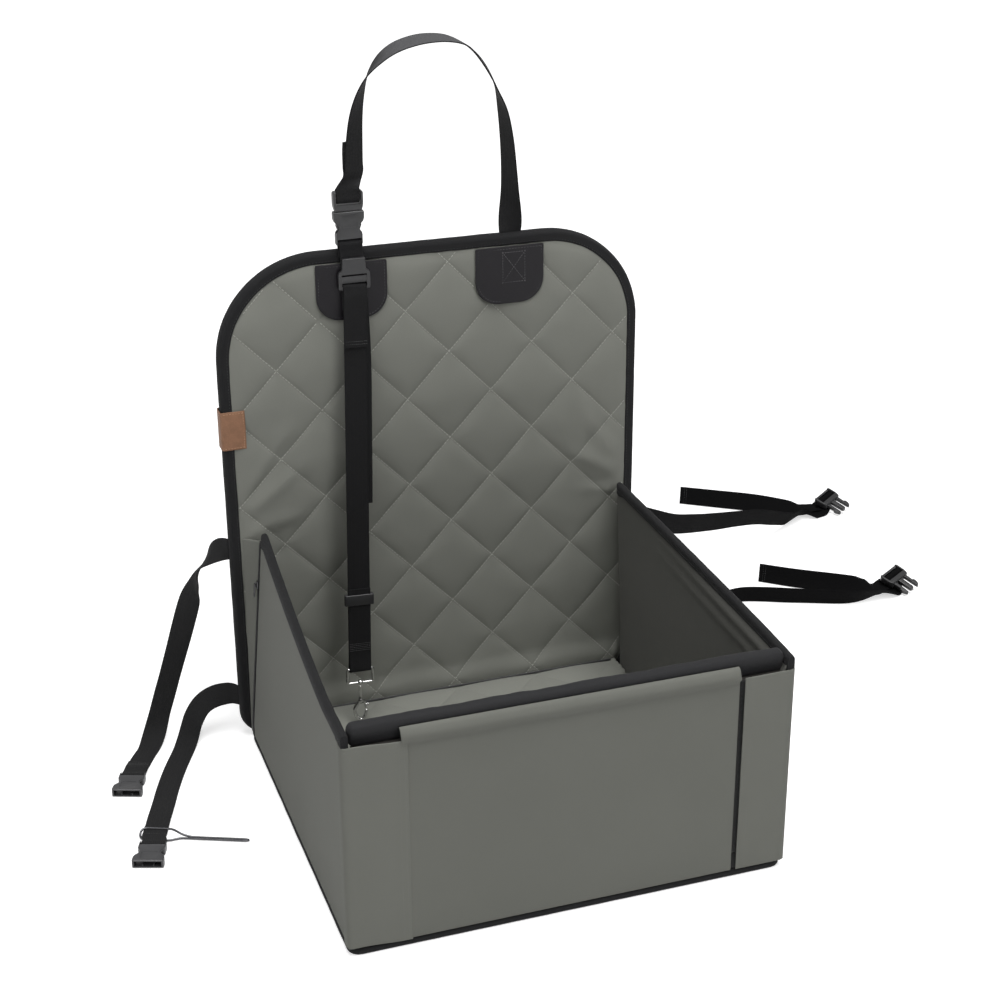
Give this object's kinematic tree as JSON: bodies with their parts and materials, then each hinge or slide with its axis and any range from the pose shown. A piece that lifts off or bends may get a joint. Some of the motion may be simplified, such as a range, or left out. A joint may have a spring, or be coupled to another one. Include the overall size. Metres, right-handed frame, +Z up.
{
  "type": "dog car seat",
  "caption": "Upholstered folding car seat for a small dog: open box with quilted backrest, headrest loop, seat straps with side release buckles and a swivel hook tether",
  "frame": {"origin": "on the floor under the middle of the box", "axes": "X to the right and Y to the rear of the seat, Z up"},
  "size_m": [1.1072, 0.8632, 0.7654],
  "materials": {
    "base_cover": "plain lining cloth",
    "base_binding": "black grosgrain tape",
    "base_board": "stiff insert",
    "base_mat": "grey woven polyester",
    "front_sill": "grey woven polyester",
    "upper_left_strap": "woven black webbing",
    "lower_left_strap": "woven black webbing",
    "upper_right_strap": "woven black webbing",
    "lower_right_strap": "woven black webbing",
    "upper_right_tail": "woven black webbing",
    "lower_right_tail": "woven black webbing",
    "upper_left_buckle": "moulded black plastic",
    "lower_left_buckle": "moulded black plastic",
    "upper_right_buckle": "moulded black plastic",
    "lower_right_buckle": "moulded black plastic",
    "front_cover": "grey woven polyester",
    "front_board": "stiff insert",
    "front_lining": "plain lining cloth",
    "front_roll": "black grosgrain tape",
    "left_loop_strip": "hook and loop tape",
    "right_loop_strip": "hook and loop tape",
    "left_wall_outer": "grey woven polyester",
    "left_wall_board": "foam stiffener",
    "left_wall_lining": "plain lining cloth",
    "left_wall_binding": "black grosgrain tape",
    "left_zip_tape": "black grosgrain tape",
    "right_wall_outer": "grey woven polyester",
    "right_wall_board": "foam stiffener",
    "right_wall_lining": "plain lining cloth",
    "right_wall_binding": "black grosgrain tape",
    "right_zip_tape": "black grosgrain tape",
    "left_flap": "grey woven polyester",
    "left_hook_strip": "hook and loop tape",
    "right_flap": "grey woven polyester",
    "right_hook_strip": "hook and loop tape",
    "back_quilt": "grey woven polyester",
    "back_board": "stiff insert",
    "back_rear_cover": "plain lining cloth",
    "back_binding": "black grosgrain tape",
    "left_gusset": "grey woven polyester",
    "right_gusset": "grey woven polyester",
    "left_patch": "embossed faux leather",
    "right_patch": "embossed faux leather",
    "label": "tan leather, bare",
    "loop_buckle_female": "moulded black plastic",
    "buckle_tab": "woven black webbing",
    "tether_adjuster": "moulded black plastic",
    "loop_buckle_male": "moulded black plastic",
    "loop_webbing": "woven black webbing",
    "tether_webbing": "woven black webbing",
    "tether_tail": "woven black webbing",
    "hook_eye": "bright plated metal",
    "tether_glide": "moulded black plastic",
    "hook_body": "bright plated metal",
    "hook_gate": "bright plated metal",
    "left_zip_slider": "bright plated metal",
    "right_zip_slider": "bright plated metal",
    "left_zip_pull": "bright plated metal",
    "right_zip_pull": "bright plated metal",
    "wire_clip": "bright plated metal"
  },
  "bodies": {
    "base": {"base_cover": "base_cover", "base_binding": "base_binding", "base_board": "base_board", "base_mat": "base_mat", "front_sill": "front_sill", "upper_left_strap": "upper_left_strap", "lower_left_strap": "lower_left_strap", "upper_right_strap": "upper_right_strap", "lower_right_strap": "lower_right_strap", "upper_right_tail": "upper_right_tail", "lower_right_tail": "lower_right_tail", "upper_left_buckle": "upper_left_buckle", "lower_left_buckle": "lower_left_buckle", "upper_right_buckle": "upper_right_buckle", "lower_right_buckle": "lower_right_buckle"},
    "front_panel": {"front_cover": "front_cover", "front_board": "front_board", "front_lining": "front_lining", "front_roll": "front_roll", "left_loop_strip": "left_loop_strip", "right_loop_strip": "right_loop_strip"},
    "left_wall": {"left_wall_outer": "left_wall_outer", "left_wall_board": "left_wall_board", "left_wall_lining": "left_wall_lining", "left_wall_binding": "left_wall_binding", "left_zip_tape": "left_zip_tape"},
    "right_wall": {"right_wall_outer": "right_wall_outer", "right_wall_board": "right_wall_board", "right_wall_lining": "right_wall_lining", "right_wall_binding": "right_wall_binding", "right_zip_tape": "right_zip_tape"},
    "left_corner_flap": {"left_flap": "left_flap", "left_hook_strip": "left_hook_strip"},
    "right_corner_flap": {"right_flap": "right_flap", "right_hook_strip": "right_hook_strip"},
    "backrest": {"back_quilt": "back_quilt", "back_board": "back_board", "back_rear_cover": "back_rear_cover", "back_binding": "back_binding", "left_gusset": "left_gusset", "right_gusset": "right_gusset", "left_patch": "left_patch", "right_patch": "right_patch", "label": "label", "loop_buckle_female": "loop_buckle_female", "buckle_tab": "buckle_tab", "tether_adjuster": "tether_adjuster"},
    "loop": {"loop_buckle_male": "loop_buckle_male", "loop_webbing": "loop_webbing"},
    "tether": {"tether_webbing": "tether_webbing", "tether_tail": "tether_tail", "hook_eye": "hook_eye"},
    "keeper": {"tether_glide": "tether_glide"},
    "hook": {"hook_body": "hook_body"},
    "gate": {"hook_gate": "hook_gate"},
    "left_slider": {"left_zip_slider": "left_zip_slider"},
    "right_slider": {"right_zip_slider": "right_zip_slider"},
    "left_pull": {"left_zip_pull": "left_zip_pull"},
    "right_pull": {"right_zip_pull": "right_zip_pull"},
    "clip": {"wire_clip": "wire_clip"}
  },
  "joints": [
    {"name": "front_panel_fold", "type": "hinge", "parent": "base", "child": "front_panel", "pos_m": [0, -0.198, 0.0261], "axis": [-1, 0, 0], "range_deg": [0, 88]},
    {"name": "left_wall_fold", "type": "hinge", "parent": "base", "child": "left_wall", "pos_m": [-0.2253, 0, 0.0078], "axis": [0, -1, 0], "range_deg": [0, 85]},
    {"name": "right_wall_fold", "type": "hinge", "parent": "base", "child": "right_wall", "pos_m": [0.2253, 0, 0.0078], "axis": [0, 1, 0], "range_deg": [0, 85]},
    {"name": "left_flap_open", "type": "hinge", "parent": "left_wall", "child": "left_corner_flap", "pos_m": [-0.225, -0.217, 0], "axis": [0, 0, -1], "range_deg": [0, 90]},
    {"name": "right_flap_open", "type": "hinge", "parent": "right_wall", "child": "right_corner_flap", "pos_m": [0.225, -0.217, 0], "axis": [0, 0, 1], "range_deg": [0, 90]},
    {"name": "backrest_recline", "type": "hinge", "parent": "base", "child": "backrest", "pos_m": [0, 0.2274, 0], "axis": [-1, 0, 0], "range_deg": [0, 88]},
    {"name": "loop_release", "type": "slide", "parent": "backrest", "child": "loop", "axis": [0, 0, 1], "range_m": [0, 0.024]},
    {"name": "tether_swing", "type": "hinge", "parent": "backrest", "child": "tether", "pos_m": [-0.0885, 0.2005, 0.515], "axis": [-1, 0, 0], "range_deg": [0, 14]},
    {"name": "keeper_slide", "type": "slide", "parent": "tether", "child": "keeper", "axis": [0.0457, 0.0842, 0.9954], "range_m": [0, 0.1]},
    {"name": "hook_swivel", "type": "hinge", "parent": "tether", "child": "hook", "pos_m": [-0.10894, 0.16282, 0.06961], "axis": [0.0457, 0.0842, 0.9954], "continuous": true},
    {"name": "gate_open", "type": "hinge", "parent": "hook", "child": "gate", "pos_m": [-0.10567, 0.16132, 0.05188], "axis": [0, 0.9964, -0.0843], "range_deg": [0, 22], "stiffness_Nm_per_rad": 0.02, "springref_deg": -11.46},
    {"name": "left_zip_run", "type": "slide", "parent": "left_wall", "child": "left_slider", "axis": [-0.0918, 0, -0.9958], "range_m": [0, 0.165]},
    {"name": "right_zip_run", "type": "slide", "parent": "right_wall", "child": "right_slider", "axis": [0.0413, 0, -0.9991], "range_m": [0, 0.165]},
    {"name": "left_pull_swing", "type": "hinge", "parent": "left_slider", "child": "left_pull", "pos_m": [-0.21325, 0.1954, 0.19769], "axis": [0, 1, 0], "range_deg": [0, 90]},
    {"name": "right_pull_swing", "type": "hinge", "parent": "right_slider", "child": "right_pull", "pos_m": [0.222, 0.1954, 0.19747], "axis": [0, -1, 0], "range_deg": [0, 90]},
    {"name": "clip_slide", "type": "slide", "parent": "base", "child": "clip", "axis": [-0.3338, -0.9426, 0], "range_m": [-0.006, 0.006]}
  ]
}
